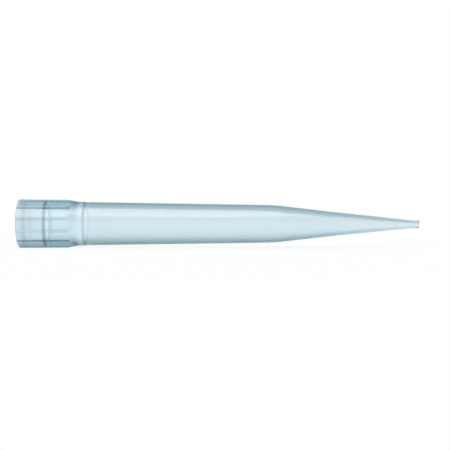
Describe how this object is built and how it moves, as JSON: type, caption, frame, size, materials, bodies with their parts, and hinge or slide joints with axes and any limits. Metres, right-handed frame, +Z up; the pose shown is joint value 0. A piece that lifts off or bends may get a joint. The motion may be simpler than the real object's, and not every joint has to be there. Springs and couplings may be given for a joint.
{
  "type": "pipette tip",
  "caption": "Clear moulded pipette tip: ribbed collar with a socket for the nose cone, long tapered body, cone and fine straight nozzle.",
  "frame": {"origin": "centre of the bounding box's bottom face: midway along the tip, on the surface that it lies on, under its axis", "axes": "+X along the tip from its wide end to its nozzle, +Z up; the tip lies on its two lowest ribs"},
  "size_m": [0.071, 0.0086, 0.0086],
  "materials": {
    "clear_polypropylene": "gloss"
  },
  "bodies": {
    "root": {"pipette_tip": "clear_polypropylene"}
  },
  "joints": []
}
